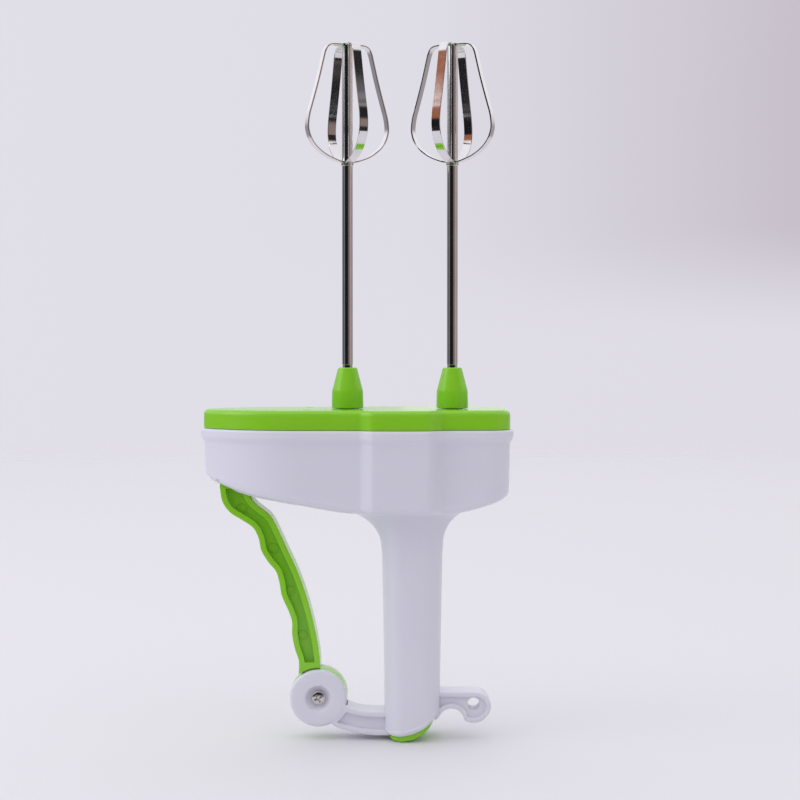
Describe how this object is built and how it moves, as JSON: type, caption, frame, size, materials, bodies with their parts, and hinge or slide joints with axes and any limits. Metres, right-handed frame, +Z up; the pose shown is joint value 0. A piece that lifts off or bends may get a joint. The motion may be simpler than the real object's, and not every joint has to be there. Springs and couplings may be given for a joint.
{
  "type": "hand-squeeze twin egg beater",
  "caption": "Hand-squeeze egg beater: a pivoted lever beside an upright handle slides a toothed bar that spins side-by-side wire beaters in opposite directions.",
  "frame": {"origin": "centre of the grip, on the handle's axis", "axes": "+Z up along the handle to the beaters, +X from the lever to the handle, +Y to the back, away from the pivot screw's head"},
  "size_m": [0.1402, 0.057, 0.3125],
  "materials": {
    "green_plastic": "gloss",
    "white_plastic": "satin",
    "nylon": "satin",
    "polished_steel": "polished",
    "plain_steel": "plain"
  },
  "bodies": {
    "case": {"housing": "white_plastic", "cover": "green_plastic", "end_cap": "green_plastic", "gear_plate": "nylon", "gear_plate_screws": "plain_steel", "cover_screws": "plain_steel", "pivot_screw": "plain_steel", "gear_axle_left": "plain_steel", "gear_axle_right": "plain_steel", "spindle_bush_left": "plain_steel", "spindle_bush_right": "plain_steel", "return_spring": "plain_steel"},
    "lever": {"lever": "green_plastic", "lever_pin": "plain_steel"},
    "toothed_bar": {"rack": "nylon"},
    "left_drive": {"drive_gear_left": "nylon"},
    "right_drive": {"drive_gear_right": "nylon"},
    "left_spindle": {"spindle_left": "plain_steel", "spindle_gear_left": "nylon", "chuck_left": "green_plastic"},
    "right_spindle": {"spindle_right": "plain_steel", "spindle_gear_right": "nylon", "chuck_right": "green_plastic"},
    "left_beater": {"beater_shaft_left": "polished_steel", "blade_a_left": "polished_steel", "blade_b_left": "polished_steel", "blade_foot_left": "polished_steel", "blade_cap_left": "polished_steel"},
    "right_beater": {"beater_shaft_right": "polished_steel", "blade_a_right": "polished_steel", "blade_b_right": "polished_steel", "blade_foot_right": "polished_steel", "blade_cap_right": "polished_steel"}
  },
  "joints": [
    {"name": "lever_squeeze", "type": "hinge", "parent": "case", "child": "lever", "pos_m": [-0.0421, 0, -0.03375], "axis": [0, 1, 0], "range_deg": [0, 15], "stiffness_Nm_per_rad": 1.4, "springref_deg": -10.89},
    {"name": "rack_slide", "type": "slide", "parent": "case", "child": "toothed_bar", "axis": [1, 0, 0], "range_m": [0, 0.02874], "deforming": ["return_spring"]},
    {"name": "left_drive_spin", "type": "hinge", "parent": "case", "child": "left_drive", "pos_m": [-0.01595, 0.0082, 0.087], "axis": [0, 0, 1], "range_deg": [0, 328.7]},
    {"name": "left_beater_spin", "type": "hinge", "parent": "case", "child": "left_spindle", "pos_m": [-0.0291, 0, 0.087], "axis": [0, 0, 1], "range_deg": [-689.8, 0]},
    {"name": "left_beater_pull", "type": "slide", "parent": "left_spindle", "child": "left_beater", "axis": [0, 0, 1], "range_m": [0, 0.0145]},
    {"name": "right_drive_spin", "type": "hinge", "parent": "case", "child": "right_drive", "pos_m": [0.00485, -0.0082, 0.087], "axis": [0, 0, 1], "range_deg": [-328.7, 0]},
    {"name": "right_beater_spin", "type": "hinge", "parent": "case", "child": "right_spindle", "pos_m": [0.018, 0, 0.087], "axis": [0, 0, 1], "range_deg": [0, 689.8]},
    {"name": "right_beater_pull", "type": "slide", "parent": "right_spindle", "child": "right_beater", "axis": [0, 0, 1], "range_m": [0, 0.0145]}
  ],
  "couplings": [
    {"joint": "rack_slide", "follows": "lever_squeeze", "m_per_rad": 0.10941},
    {"joint": "left_drive_spin", "follows": "lever_squeeze", "ratio": 21.883},
    {"joint": "left_beater_spin", "follows": "lever_squeeze", "ratio": -45.954},
    {"joint": "right_drive_spin", "follows": "lever_squeeze", "ratio": -21.883},
    {"joint": "right_beater_spin", "follows": "lever_squeeze", "ratio": 45.954}
  ]
}
